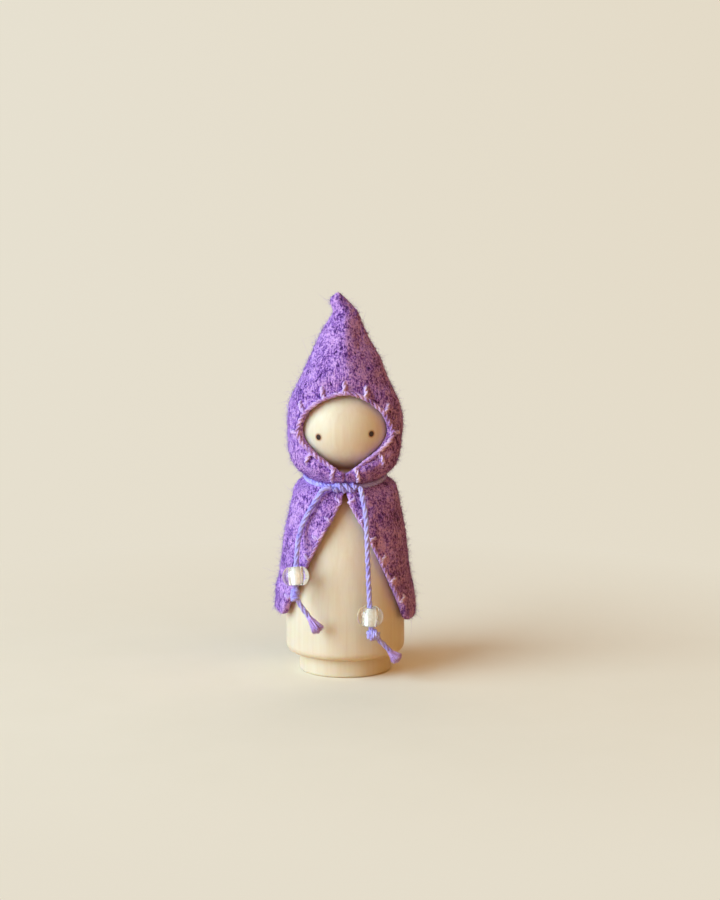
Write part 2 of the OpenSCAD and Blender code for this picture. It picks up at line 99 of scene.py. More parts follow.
# Its mesh: rows by stretch, columns, the rim's own columns, the solid tip and the rough cut edge
CORNER_ROWS, CAPE_ROWS, NECK_ROWS, JAW_ROWS, ARCH_ROWS, HOOD_ROWS = 9, 62, 9, 22, 26, 70
HALF_COLS, TIP_SOLID = 74, 3.5
RIM = np.array([0, 0.1, 0.22, 0.4])
CUT_SHARES, CUT_ROUGH, CUT_GRAIN, CUT_SEEDS = (0.3, 0.5, 0.7), 0.08, 0.8, (1.0, 2.0, 4.0)

# Fibres on the felt: root below it, spread, curl, taper, and the room that they leave the left bead
FIBRE_ROOT, FIBRE_SPREAD, FIBRE_CURL, FIBRE_TAPER, BEAD_CLEAR = 0.06, 0.7, 0.45, 0.8, 0.1
FIBRE_CORNERS = (0, 2.094, 4.189)
FIBRE_FACES = ((0, 1, 4, 3), (1, 2, 5, 4), (2, 0, 3, 5), (3, 4, 6), (4, 5, 6), (5, 3, 6))

# Cords and threads: place and swell of the plies, and steps along a path
PLY_OFF, PLY_SWELL = {2: 0.46, 3: 0.5}, 1.06
SPAN_STEPS, THREAD_STEP, CORD_STEP, WRAP_STEP = 24, 0.12, 0.16, 0.15
# Blanket stitch: its edge thread and its legs
EDGE_IN, EDGE_WANDER, EDGE_DEPTHS, EDGE_GIRTH = 0.02, 0.12, (0.24, 0.48), 1.1
LEG_VARIES, LEG_SLIP = (0.8, 1.12), 0.35
# Whip stitch of the back seam: shares of its width and pitch, and depths
SEAM_PITCH, SEAM_HALF, SEAM_GIRTH, SEAM_OFF = 4, 0.9, 0.36, 2.5
WHIP_STITCH = ((-1, 0, 0.1), (-0.4, 0.1, -0.45), (0.4, 0.18, -0.45), (1, 0.25, 0.1), (1, 0.25, 0.8), (-1, 1, 0.8))
# Cord round the neck, half knot in front of it and knots under the beads
RING_R, RING_STEPS, RING_PITCH = GROOVE_R + CORD_R - 0.1, 260, 2.5
KNOT_GAP_HALF, KNOT_L, KNOT_TURNS, KNOT_STEPS = 1.8, 3.9, 1.5, 44
KNOT_R = CORD_R + 0.06
KNOT_Y, KNOT_Z = -GROOVE_R - CORD_R - KNOT_R + 0.05, GROOVE_Z - RING_R * math.sin(CORD_TILT)
WRAP_TURNS, WRAP_START, WRAP_BULGE, WRAP_GIRTH, WRAP_PITCH, WRAP_STEPS = 3.15, 0.6, 0.14, 0.45, 2.2, 60
# Tails and their tufts, and the lining of a bead's hole (radius, height)
TAIL_PITCH, STRANDS, STRAND_R, STRAND_TAPER, STRAND_STEPS = 4.2, 240, 0.085, 0.35, 6
CLUMP, CLUMP_PULL, TUFT_ROOT = 0.9, 0.12, 0.5
LINING = ((0.8, -1.5), (0.88, -1.56), (0.93, -1.5), (0.93, 0), (0.93, 1.5), (0.88, 1.56), (0.8, 1.5), (0.8, 0))
LINING_SIDES = 40


def smooth_table(rows):
    """Monotone cubic through the rows of a table."""
    x, y = np.array(rows, float).T
    h = np.diff(x)
    d = np.diff(y) / h
    m = np.concatenate([d[:1], np.zeros(len(d) - 1), d[-1:]])
    same = d[:-1] * d[1:] > 0
    m[1:-1][same] = (2 * d[:-1] * d[1:])[same] / (d[:-1] + d[1:])[same]

    def at(q):
        q = np.clip(q, x[0], x[-1])
        i = np.clip(np.searchsorted(x, q) - 1, 0, len(h) - 1)
        t = (q - x[i]) / h[i]
        return (y[i] * (2 * t**3 - 3 * t**2 + 1) + h[i] * m[i] * (t**3 - 2 * t**2 + t)
                + y[i + 1] * (3 * t**2 - 2 * t**3) + h[i] * m[i + 1] * (t**3 - t**2))
    return at


outline = smooth_table(
    [(HEM_Z + a * CAPE_L, GROOVE_R + b * (HEM_R - GROOVE_R)) for a, b in CAPE_OUTLINE]
    + [(GROOVE_Z + a * (HEAD_Z - GROOVE_Z), GROOVE_R + b * (HOOD_R - GROOVE_R)) for a, b in LOW_HOOD]
    + [(HEAD_Z + a * (POINT_Z - HEAD_Z), b * HOOD_R) for a, b in TOP_HOOD])
lean = smooth_table(LEAN_SHARES)
fold = smooth_table(FOLD_POWERS)


# Felt: the same form as its solid, and finer
def wood_radius(z):
    """Radius of the peg at heights under the felt."""
    s = np.clip((SHOULDER_Z - z) / (SHOULDER_Z - BELLY_Z), 0, 1)
    body = NECK_R + (BODY_R - NECK_R) * (1 - (1 - s)**BELL_POWER)**BELL_ROUND
    ball = np.sqrt(np.maximum(0, HEAD_R**2 - (z - HEAD_Z)**2))
    return np.where(z < SHOULDER_Z, body, np.maximum(np.where(z < HEAD_Z, NECK_R, 0), ball))


def felt(angle, z, depth):
    """Points of the felt at angles from the front, heights and depths below its outer face."""
    angle, z, depth = np.broadcast_arrays(np.asarray(angle, float), z, depth)
    a = np.radians(angle)
    share = np.maximum(0, (z - HEAD_Z) / (POINT_Z - HEAD_Z))
    near_cord = np.maximum(0, 1 - np.sqrt((z - GROOVE_Z)**2 + PULL_ROUND) / PULL_REACH)
    pull = math.tan(CORD_TILT) * near_cord
    full = outline(z)
    sway = SWAY * np.maximum(0, (GROOVE_Z - z) / CAPE_L)**2
    height = z - full * np.cos(a) * pull - sway * np.sin(a)
    over_head = z > HEAD_Z + HEAD_R + HEAD_CLEAR
    wood = wood_radius(height)
    inner = np.maximum(full - FELT_T, np.where(over_head, 0, wood + FIT_GAP))
    outer = np.maximum(full, np.where(over_head, 0, inner + FELT_MIN_T))
    room = np.clip(CURL_SHARE * (inner - wood - CURL_GAP), 0, CURL_MAX) * np.clip((z - FACE_LOW) / CURL_RISE, 0, 1)
    curl = room * np.exp(-(np.maximum(0, edge_distance(angle, z)) / CURL_REACH)**2)
    r = outer - depth / FELT_T * (outer - inner) - curl
    side = np.sign(np.sin(a)) * np.abs(np.sin(a))**fold(share)
    return np.stack([r * side - LEAN * lean(share), -r * np.cos(a), height], -1)


def open_half(z):
    """Half angle of the opening down the front."""
    z = np.asarray(z, float)
    gap = np.degrees(np.arcsin(SPLIT_GAP / np.maximum(outline(z), 1)))
    d = np.clip(HEM_Z + CORNER_R - z, 0, CORNER_R)
    corner = np.degrees((CORNER_R - np.sqrt(CORNER_R**2 - d**2)) / HEM_R)
    s = np.maximum(0, (SPLIT_Z - z) / (SPLIT_Z - HEM_Z))
    cape = gap + corner + (FRONT_HALF - gap) * s * (1 + EDGE_BOW - EDGE_BOW * s**4) + CORNER_OUT * s**6
    below = np.clip((FACE_WIDE - z) / (FACE_WIDE - FACE_LOW), 0, 1)
    low = gap + (FACE_HALF - gap) * (1 - below**FACE_POWER)
    arch = FACE_HALF * np.sqrt(np.maximum(0, 1 - ((z - FACE_WIDE) / (FACE_TOP - FACE_WIDE))**2))
    return np.where(z <= SPLIT_Z, cape, np.where(z <= FACE_LOW, gap, np.where(z <= FACE_WIDE, low, arch)))


def edge_distance(angle, z):
    """Distance of felt points from the nearest cut edge."""
    away = np.abs(np.where(angle > 180, angle - 360, angle))
    side = np.radians(away - open_half(z)) * outline(z)
    ring = np.sqrt((away / FACE_HALF)**2 + ((z - FACE_WIDE) / (FACE_TOP - FACE_WIDE))**2)
    arch = (ring - 1) * ARCH_SIZE
    return np.minimum(np.where(z > FACE_WIDE, arch, side), z - HEM_Z)


def lumps(points, size, seed):
    """Smooth noise at points, from about -1 to 1."""
    shift = Vector((seed, 0, 0))
    values = [noise.noise(Vector(p) / size + shift) for p in points.reshape(-1, 3)]
    return np.array(values).reshape(points.shape[:-1])


def felt_surface(angle, z, outside):
    """Outer or inner face, with rounded cut edges. The outer one has gathers, lumps and a crease below the point."""
    soft = np.exp(-(np.maximum(0, edge_distance(angle, z)) / EDGE_ROUND)**2)
    if not outside:
        return felt(angle, z, FELT_T * (1 - INNER_CUT * soft))
    p = felt(angle, z, OUTER_CUT * FELT_T * soft)
    a = np.radians(angle)
    x = (z - GROOVE_Z - GATHER_AT) / GATHER_REACH
    wave = 0.5 + 0.5 * np.cos(GATHERS * a + GATHER_UNEVEN * np.sin(3 * a) + GATHER_SLANT * (z - GROOVE_Z))
    push = GATHER_H * wave * x**2 * np.exp(1 - x**2)
    for height, size, seed in LUMPS:
        push = push + height * lumps(p, size, seed)
    up = np.clip((z - FACE_TOP) / (POINT_Z - FACE_TOP), 0, 1)
    held = np.clip(up / CREASE_RISE, 0, 1) * np.clip((CREASE_TOP - up) / CREASE_FADE, 0, 1)
    aside = (angle + 180) % 360 - 180
    from_ridge = np.sqrt((aside - RIDGE_AT)**2 + RIDGE_ROUND**2) - RIDGE_ROUND
    ridge = RIDGE_H * np.exp(-from_ridge / RIDGE_WIDE)
    hollow = HOLLOW_D * np.exp(-((aside - HOLLOW_AT) / HOLLOW_WIDE)**2)
    push = push + held * (ridge - hollow)
    flat = np.stack([np.sin(a), -np.cos(a), PUSH_RISE * np.ones_like(a)], -1)
    return p + flat * (push * (1 - EDGE_HELD * soft))[..., None]


def felt_rows():
    """Heights of the felt's rows, closer together where an edge bends."""
    def quarter(count):
        return np.radians(np.linspace(0, 90, count))
    return np.concatenate([
        HEM_Z + CORNER_R * (1 - np.cos(quarter(CORNER_ROWS))),
        np.linspace(HEM_Z + CORNER_R, SPLIT_Z, CAPE_ROWS)[1:],
        np.linspace(SPLIT_Z, FACE_LOW, NECK_ROWS)[1:],
        np.linspace(FACE_LOW, FACE_WIDE, JAW_ROWS)[1:],
        FACE_WIDE + (FACE_TOP - FACE_WIDE) * np.sin(quarter(ARCH_ROWS))[1:],
        FACE_TOP + (POINT_Z - FACE_TOP) * np.sin(quarter(HOOD_ROWS))[1:-1]])


def grid(first, n_rows, cols):
    """Corners of the quads between rows of points."""
    return [(a, a + 1, a + cols + 1, a + cols) for i in range(n_rows - 1)
            for a in range(first + i * cols, first + (i + 1) * cols - 1)]


def build_felt():
    """The felt's vertices and faces, and how many of the first faces are its outer side."""
    rows = felt_rows()
    n_open = int(np.argmin(np.abs(rows - FACE_TOP)))
    angles = []
    for z in rows:
        half = float(open_half(z)) if z < FACE_TOP - 1e-6 else 0.0
        first = half + np.degrees(RIM / max(2.0, float(outline(z))))
        right = np.concatenate([first, np.linspace(first[-1], 180, HALF_COLS)[1:]])
        angles.append(np.concatenate([right, 360 - right[-2::-1]]))
    angles = np.array(angles)
    n_rows, cols = angles.shape
    zs = np.repeat(rows[:, None], cols, 1)
    inner_rows = int(np.sum(rows < POINT_Z - TIP_SOLID))
    outer = felt_surface(angles, zs, True)
    inner = felt_surface(angles[:inner_rows], zs[:inner_rows], False)
    mids = []
    for share in CUT_SHARES:
        edge = inner[:n_open + 1, [0, -1]] * share + outer[:n_open + 1, [0, -1]] * (1 - share)
        mids.append(edge + CUT_ROUGH * np.stack([lumps(edge, CUT_GRAIN, seed) for seed in CUT_SEEDS], -1))
    tip = felt(0, POINT_Z, FELT_T / 2)
    plug = felt(0, rows[inner_rows], FELT_T)
    verts = np.concatenate([part.reshape(-1, 3) for part in (outer, inner, *mids, tip, plug)])
    tip_i, plug_i = len(verts) - 2, len(verts) - 1
    base = n_rows * cols
    mid0 = base + inner_rows * cols
    last = len(mids) + 1

    def on_edge(i, side, k):
        """Index of a point of the cut edge, from the outer face (k 0) through the felt to the inner one."""
        if 0 < k < last:
            return mid0 + 2 * ((k - 1) * (n_open + 1) + i) + side
        return (base if k else 0) + i * cols + side * (cols - 1)

    faces = grid(0, n_rows, cols)
    n_outer = len(faces)
    faces += [(a, d, c, b) for a, b, c, d in grid(base, inner_rows, cols)]
    for i in range(n_open):
        for k in range(last):
            for side in (0, 1):
                quad = (on_edge(i, side, k), on_edge(i + 1, side, k), on_edge(i + 1, side, k + 1),
                        on_edge(i, side, k + 1))
                faces.append(quad[::-1] if side else quad)
    for j in range(cols - 1):
        top, low = base - cols + j, mid0 - cols + j
        faces += [(base + j, base + j + 1, j + 1, j), (top, top + 1, tip_i), (low + 1, low, plug_i)]
    return verts, faces, n_outer


# Paths, tubes and twisted cords
def distances(path):
    """Distance of each point of a path from its start, along it."""
    return np.concatenate([[0], np.cumsum(np.linalg.norm(np.diff(path, axis=0), axis=1))])


def smooth_path(points, step):
    """Catmull-Rom curve through points, resampled at an even step."""
    p = np.array(points, float)
    p = np.concatenate([[2 * p[0] - p[1]], p, [2 * p[-1] - p[-2]]])
    t = np.linspace(0, 1, SPAN_STEPS, endpoint=False)[:, None]
    fine = [0.5 * (2 * b + (c - a) * t + (2 * a - 5 * b + 4 * c - d) * t**2 + (3 * b - a - 3 * c + d) * t**3)
            for a, b, c, d in zip(p, p[1:], p[2:], p[3:])]
    fine = np.concatenate(fine + [p[-2:-1]])
    s = distances(fine)
    q = np.linspace(0, s[-1], max(3, int(s[-1] / step) + 1))
    return np.stack([np.interp(q, s, fine[:, k]) for k in range(3)], -1)


def normals(path):
    """Two normals at each point of a path, with the least twist."""
    t = np.gradient(path, axis=0)
    t /= np.linalg.norm(t, axis=1)[:, None]
    u = np.cross(t[0], (0, 0, 1) if abs(t[0, 2]) < 0.7 else (0, 1, 0))
    us = []
    for d in t:
        u = u - d * (u @ d)
        u = u / np.linalg.norm(u)
        us.append(u)
    us = np.array(us)
    return us, np.cross(t, us)


class Shape:
    """Vertices and faces gathered from several tubes."""

    def __init__(self):
        self.verts, self.faces, self.count = [], [], 0

    def add(self, verts, faces):
        self.verts.append(np.asarray(verts, float))
        self.faces += [tuple(int(i) + self.count for i in f) for f in faces]
        self.count += len(verts)

    def tube(self, path, radius, sides):
        radius = np.broadcast_to(np.asarray(radius, float), len(path))
        u, v = normals(path)
        a = np.linspace(0, FULL_TURN, sides, endpoint=False)
        ring = np.cos(a)[None, :, None] * u[:, None] + np.sin(a)[None, :, None] * v[:, None]
        verts = (path[:, None] + radius[:, None, None] * ring).reshape(-1, 3)
        n = len(path)
        faces = [(i * sides + k, i * sides + (k + 1) % sides, (i + 1) * sides + (k + 1) % sides,
                  (i + 1) * sides + k) for i in range(n - 1) for k in range(sides)]
        faces.append(tuple(range(sides))[::-1])
        faces.append(tuple((n - 1) * sides + k for k in range(sides)))
        self.add(verts, faces)

    def twisted(self, path, radius, pitch, plies=3, sides=7, turn=0.0, uneven=0.06):
        """Plies laid round each other along an evenly stepped path."""
        u, v = normals(path)
        s = distances(path)
        off = radius * PLY_OFF[plies]
        for k in range(plies):
            a = FULL_TURN * (s / pitch + k / plies) + turn
            wobble = 1 + uneven * np.sin(3.1 * s + 2.2 * k + 1.4 * np.sin(1.3 * s))
            ply = path + off * (np.cos(a)[:, None] * u + np.sin(a)[:, None] * v)
            self.tube(ply, (radius - off) * PLY_SWELL * wobble, sides)


# Materials
def srgb(*values):
    """Linear colour, with alpha, of three screen values from 0 to 255."""
    shares = [value / 255 for value in values]
    return tuple(c / 12.92 if c <= 0.04045 else ((c + 0.055) / 1.055)**2.4 for c in shares) + (1,)


def grey(v):
    return (v, v, v, 1)


# Tones: the paper lit on the left and in painted shade on the right, how much of the neck's painted shade shows at
# heights over the groove, and the eyes' middles
PAPER_LIT_LEFT, PAPER_SHADED_RIGHT = srgb(231, 225, 209), srgb(227, 217, 197)
BURNT, FLECK, PAINTED_NECK_SHADE = srgb(178, 104, 42), srgb(176, 138, 92), srgb(196, 140, 84)
NECK_SHADE_SHARES = ((-6, 0), (-2, 1), (1.8, 1), (5, 0))
EYES = []
for side in (-1, 1):
    turn = math.asin(side * EYE_X / HEAD_R)
    lift = math.asin((side * EYE_SLOPE - EYE_DROP) / HEAD_R)
    EYES.append((HEAD_R * math.cos(lift) * math.sin(turn), -HEAD_R * math.cos(lift) * math.cos(turn),
                 HEAD_Z + HEAD_R * math.sin(lift)))


class Nodes:
    """A node tree, with short names for adding and joining nodes."""

    def __init__(self, tree, space):
        self.tree = tree
        self.coords = self.add("TexCoord").outputs[space]

    def add(self, kind, inputs=(), **settings):
        """A node. Each of its inputs is linked to a socket, or set to a value."""
        node = self.tree.nodes.new("ShaderNode" + kind)
        for key, value in settings.items():
            setattr(node, key, value)
        for key, value in dict(inputs).items():
            if isinstance(value, bpy.types.NodeSocket):
                self.tree.links.new(value, node.inputs[key])
            else:
                node.inputs[key].default_value = value
        return node

    def along(self, axis):
        return self.add("SeparateXYZ", {0: self.coords}).outputs[axis]

    def noise(self, scale=1, detail=3.0, rough=0.55, stretch=None, turn=(0, 0, 0), distortion=0.0):
        at = self.coords
        if stretch:
            at = self.add("Mapping", {"Vector": at, "Scale": stretch, "Rotation": turn}).outputs[0]
        return self.add("TexNoise", {"Vector": at, "Scale": scale, "Detail": detail, "Roughness": rough,
                                     "Distortion": distortion}).outputs["Fac"]

    def ramp(self, source, *stops):
        """Colours by a source's value, from stops of a place and a colour."""
        node = self.add("ValToRGB", {"Fac": source})
        elements = node.color_ramp.elements
        while len(elements) < len(stops):
            elements.new(0.5)
        for element, (place, colour) in zip(elements, stops):
            element.position = place
            element.color = colour
        return node.outputs[0]

    def mix(self, share, a, b):
        return self.add("MixRGB", {"Fac": share, "Color1": a, "Color2": b}).outputs[0]

    def math(self, operation, a, b):
        return self.add("Math", {0: a, 1: b}, operation=operation).outputs[0]

    def total(self, *weighted):
        """Sum of sources times their weights."""
        terms = [source if weight == 1 else self.math("MULTIPLY", source, weight) for source, weight in weighted]
        result = terms[0]
        for term in terms[1:]:
            result = self.math("ADD", result, term)
        return result

    def seen(self):
        """1 for what the camera sees, also in gloss and through glass, and 0 for light that bounces."""
        rays = self.add("LightPath").outputs
        direct = self.math("MAXIMUM", rays["Is Camera Ray"], rays["Is Glossy Ray"])
        return self.math("MAXIMUM", direct, rays["Is Transmission Ray"])

    def blend(self, share, first, second, output):
        """The tree's result: two shaders, mixed."""
        mixed = self.add("MixShader", {0: share, 1: first.outputs[0], 2: second.outputs[0]})
        self.tree.links.new(mixed.outputs[0], self.tree.nodes[output].inputs["Surface"])


class Look(Nodes):
    """A material, with the values of its shader's own sockets."""

    def __init__(self, name, **values):
        self.mat = bpy.data.materials.new(name)
        self.mat.use_nodes = True
        super().__init__(self.mat.node_tree, "Object")
        self.shader = self.tree.nodes["Principled BSDF"]
        for key, value in values.items():
            self.shader.inputs[key.replace("_", " ")].default_value = value

    def link(self, source, key):
        self.tree.links.new(source, self.shader.inputs[key])

    def bump(self, height, strength, distance):
        node = self.add("Bump", {"Height": height, "Strength": strength, "Distance": distance})
        self.link(node.outputs[0], "Normal")


def felt_look(name, light, mid, dark, bumpy=True):
    """Heathered wool: specks, clouds and streaks of fibre."""
    look = Look(name, Roughness=0.95, Sheen_Weight=0.3, Sheen_Roughness=0.45, Sheen_Tint=srgb(200, 170, 235),
                Specular_IOR_Level=0.1)
    cloud = look.noise(400)
    speck = look.noise(2200, detail=5.0, rough=0.75)
    slanted = look.noise(rough=0.6, stretch=(5200, 900, 900), turn=(0.3, 0.5, 0.8), distortion=0.6)
    upright = look.noise(rough=0.6, stretch=(4600, 4600, 800), turn=(0.15, 0.1, 0), distortion=0.6)
    fibre = look.math("MAXIMUM", slanted, upright)
    tone = look.total((speck, 0.8), (cloud, 0.3), (look.math("SUBTRACT", fibre, 0.5), 0.65))
    look.link(look.ramp(tone, (0.45, dark), (0.537, mid), (0.64, light)), "Base Color")
    if bumpy:
        look.bump(look.total((speck, 1), (fibre, 0.8)), strength=0.9, distance=0.0004)
    return look.mat


def cord_look(name, light, mid, dark, patch=700, share=0.4):
    """Spun thread, with patches of tone in a share."""
    look = Look(name, Roughness=0.62, Sheen_Weight=0.3, Sheen_Roughness=0.4, Specular_IOR_Level=0.35)
    fine = look.noise(5200, rough=0.6)
    tone = look.total((fine, 1 - share), (look.noise(patch, detail=2.0), share))
    look.link(look.ramp(tone, (0.34, dark), (0.5, mid), (0.68, light)), "Base Color")
    look.bump(fine, strength=0.5, distance=0.00012)
    return look.mat


def wood_look():
    """Pale turned wood with upright grain, painted shade at the neck, and a deeper burnt tone round the eyes."""
    look = Look("pale_turned_wood", Roughness=0.5, Specular_IOR_Level=0.4, Subsurface_Weight=0.4,
                Subsurface_Scale=0.0025, Subsurface_Radius=(1.0, 0.45, 0.18))
    grain = look.noise(detail=5.0, rough=0.6, stretch=(1500, 1500, 60), turn=(0.02, 0.015, 0), distortion=0.4)
    broad = look.noise(rough=0.5, stretch=(260, 260, 16), turn=(0.03, 0.02, 0), distortion=0.8)
    pores = look.noise(detail=2.0, rough=0.5, stretch=(4200, 4200, 260))
    colour = look.ramp(look.total((grain, 0.55), (broad, 0.45)), (0.3, srgb(219, 200, 172)),
                       (0.5, srgb(223, 208, 184)), (0.7, srgb(227, 215, 194)))
    flecks = look.ramp(pores, (0.62, grey(0)), (0.74, grey(1)))
    # Painted shade: the wood is darker and more orange round the neck, under the head and the felt. A ramp ends at
    # 1, so this one counts height in units of 100 mm
    neck = look.ramp(look.math("MULTIPLY", look.along("Z"), 10),
                     *[((GROOVE_Z + up) / 100, grey(share)) for up, share in NECK_SHADE_SHARES])
    tones = [(flecks, 0.07, FLECK), (neck, 0.8, PAINTED_NECK_SHADE)]
    for eye in EYES:
        away = look.add("VectorMath", {0: look.coords, 1: [c * MM for c in eye]}, operation="DISTANCE")
        halo = look.ramp(look.math("MULTIPLY", away.outputs["Value"], 1 / MM), (0.5, grey(1)), (0.86, grey(0)))
        tones.append((halo, 0.85, BURNT))
    for where, share, tone in tones:
        colour = look.mix(look.math("MULTIPLY", where, share), colour, tone)
    look.link(colour, "Base Color")
    look.link(look.ramp(grain, (0.3, grey(0.42)), (0.7, grey(0.56))), "Roughness")
    look.bump(look.total((grain, 1), (pores, -0.5)), strength=0.12, distance=0.0001)
    return look.mat


def eye_look():
    look = Look("burnt_dot", Roughness=0.4, Specular_IOR_Level=0.35)
    look.link(look.ramp(look.noise(2600), (0.35, srgb(26, 14, 10)), (0.65, srgb(66, 36, 20))), "Base Color")
    return look.mat


def glass_look():
    look = Look("clear_glass", Roughness=0.03, IOR=1.5, Transmission_Weight=1.0)
    look.link(look.ramp(look.noise(900, detail=2.0), (0.3, grey(0.97)), (0.7, grey(1.0))), "Base Color")
    return look.mat


def lining_look():
    look = Look("silver_lining", Metallic=0.25, Roughness=0.36)
    look.link(look.ramp(look.noise(2600), (0.3, srgb(230, 225, 214)), (0.7, srgb(252, 250, 246))), "Base Color")
    look.bump(look.noise(3000, detail=2.0), strength=0.25, distance=0.00006)
    return look.mat


def floor_look():
    """Paper that takes the doll's shadow near it and glows in its plain colour further away; the light it bounces is
    painted orange.
    """
    look = Look("pale_paper", Roughness=0.9, Specular_IOR_Level=0.05)
    pale = look.ramp(look.noise(60), (0.3, srgb(245, 238, 220)), (0.7, srgb(248, 241, 224)))
    seen = look.seen()
    # Painted warm bounce light: light that bounces off the paper is orange, while the camera sees the paper pale
    look.link(look.mix(seen, srgb(226, 184, 122), pale), "Base Color")
    across = look.math("ADD", look.along("X"), 0.5)
    # Painted shade: the glow is lighter on the left and darker on the right, as if lit from the left
    plain = look.add("Emission", {"Color": look.ramp(across, (0.3, PAPER_LIT_LEFT), (0.75, PAPER_SHADED_RIGHT))})
    away = look.add("VectorMath", {0: look.coords}, operation="LENGTH").outputs["Value"]
    far = look.ramp(away, (0.014, grey(0)), (0.05, grey(0.45)), (0.12, grey(1)))
    look.blend(look.math("MULTIPLY", seen, far), look.shader, plain, "Material Output")
    return look.mat


LOOKS = {
    "wood": wood_look(), "eye": eye_look(), "glass": glass_look(), "lining": lining_look(), "floor": floor_look(),
    "felt": felt_look("purple_felt", srgb(230, 182, 244), srgb(148, 91, 202), srgb(40, 7, 72)),
    "fuzz": felt_look("purple_fibre", srgb(192, 150, 240), srgb(136, 88, 194), srgb(78, 36, 128), bumpy=False),
    "thread": cord_look("floss", srgb(238, 204, 240), srgb(188, 142, 206), srgb(112, 66, 142), 380, 0.55),
    "legs": cord_look("pale_floss", srgb(240, 220, 252), srgb(216, 184, 240), srgb(160, 120, 196), 380, 0.5),
    "tuft": cord_look("frayed_cord", srgb(228, 202, 250), srgb(204, 170, 242), srgb(164, 126, 216)),
    "cord": cord_look("lavender_cord", srgb(206, 202, 246), srgb(180, 168, 244), srgb(130, 110, 216))}


# Pieces
def piece(name, verts, faces, look, body, slot, solids=()):
    """A visible piece that rides a body, and stands in for solids if it names any."""
    mesh = bpy.data.meshes.new(name)
    mesh.from_pydata([tuple(v) for v in np.asarray(verts) * MM], [], faces)
    welded = bmesh.new()
    welded.from_mesh(mesh)
    bmesh.ops.remove_doubles(welded, verts=welded.verts, dist=WELD)
    welded.to_mesh(mesh)
    welded.free()
    mesh.polygons.foreach_set("use_smooth", [True] * len(mesh.polygons))
    obj = bpy.data.objects.new(name, mesh)
    bpy.context.scene.collection.objects.link(obj)
    mesh.materials.append(LOOKS[look])
    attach(obj, body)
    if solids:
        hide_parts(*solids)
    return obj


def from_shape(name, shape, *rest):
    return piece(name, np.concatenate(shape.verts), shape.faces, *rest)


def two_toned(name, shape, extra, looks, *rest):
    """One piece of two shapes, with a material each."""
    first = len(shape.faces)
    shape.add(np.concatenate(extra.verts), extra.faces)
    obj = from_shape(name, shape, looks[0], *rest)
    obj.data.materials.append(LOOKS[looks[1]])
    for polygon in obj.data.polygons:
        polygon.material_index = int(polygon.index >= first)
    return obj


def off_the_bead(points):
    """Which points keep out of the way of the left bead, which slides close over the felt."""
    axis = np.array(BEAD_LEFT_AXIS) / np.linalg.norm(BEAD_LEFT_AXIS)
    away = points - np.array(BEAD_LEFT_AT)
    along = np.clip(away @ axis, -BEAD_L / 2, BEAD_L / 2 + BEAD_LEFT_SLIDE)
    return np.linalg.norm(away - along[:, None] * axis, axis=1) > BEAD_R + BEAD_CLEAR


def fuzz(verts, faces, count, length, radius, up, seed):
    """Thin bent fibres that stand out of some faces, except where the left bead slides."""
    rng = np.random.default_rng(seed)
    tri = np.array([f[:3] for f in faces])
    a, b, c = (verts[tri[:, k]] for k in range(3))
    normal = np.cross(b - a, c - a)
    area = np.linalg.norm(normal, axis=1)
    pick = rng.choice(len(tri), count, p=area / area.sum())
    n = normal[pick] / np.maximum(area[pick], 1e-9)[:, None]
    s, t = rng.random((2, count, 1))
    root = a[pick] + s * (b - a)[pick] + t * (c - a)[pick]
    wild = rng.normal(size=(count, 3))
    d = n * rng.uniform(up[0], up[1], (count, 1)) + FIBRE_SPREAD * (wild - n * np.sum(wild * n, 1)[:, None])
    d /= np.linalg.norm(d, axis=1)[:, None]
    size = rng.uniform(length[0], length[1], (count, 1))
    curl = rng.normal(size=(count, 3)) * FIBRE_CURL
    rings = [root - FIBRE_ROOT * n, root + d * size * 0.5, root + (d + curl) * size]
    side = np.cross(d, rng.normal(size=(count, 3)))
    side /= np.maximum(np.linalg.norm(side, axis=1), 1e-9)[:, None]
    over = np.cross(d, side)
    corner = [np.cos(q) * side + np.sin(q) * over for q in FIBRE_CORNERS]
    points = [rings[0] + radius * q for q in corner] + [rings[1] + FIBRE_TAPER * radius * q for q in corner]
    points.append(rings[2])
    kept = np.all([off_the_bead(ring) for ring in rings], axis=0)
    out = np.stack(points, 1)[kept].reshape(-1, 3)
    return out, [tuple(len(points) * i + k for k in f) for i in range(int(kept.sum())) for f in FIBRE_FACES]


def off_edge(at, heading, ahead, inward, depth):
    """A point of the felt off a place on its edge: ahead along the edge, inward from it and below the surface."""
    r = float(outline(at[1]))
    u = heading[0] * ahead - heading[1] * inward
    v = heading[1] * ahead + heading[0] * inward
    return felt(at[0] + math.degrees(u / r), at[1] + v, depth)


def blanket_stitch(shape, legs, edge, leg, girth, proud):
    """Over the felt, through it, back under its edge, and along the edge to the next place."""
    run = []
    for i, at in enumerate(edge):
        a, b = edge[max(i - 1, 0)], edge[min(i + 1, len(edge) - 1)]
        r = float(outline((a[1] + b[1]) / 2))
        h = np.array([math.radians(b[0] - a[0]) * r, b[1] - a[1]])
        h /= np.linalg.norm(h)
        inward = EDGE_IN + RNG.uniform(-EDGE_WANDER, EDGE_WANDER)
        depth = FELT_T * RNG.uniform(EDGE_DEPTHS[0] - proud, EDGE_DEPTHS[1] - proud)
        run.append(off_edge(at, h, 0, inward, depth))
        if i % 2:
            continue
        reach = leg * RNG.uniform(*LEG_VARIES)
        slip = RNG.uniform(-LEG_SLIP, LEG_SLIP)
        points = [off_edge(at, h, *place) for place in (
            (0, 0.05, 0.3 * FELT_T), (0, 0.1, -0.2), (0.25 * slip, 0.4, -proud),
            (0.6 * slip, 0.6 * reach, -proud), (slip, reach, 0.05), (slip, reach, 0.6 * FELT_T))]
        legs.twisted(smooth_path(points, THREAD_STEP), girth, pitch=2.0, plies=2, sides=6, uneven=0.15)
    shape.twisted(smooth_path(run, THREAD_STEP), EDGE_GIRTH * girth, pitch=2.1, plies=2, uneven=0.22)


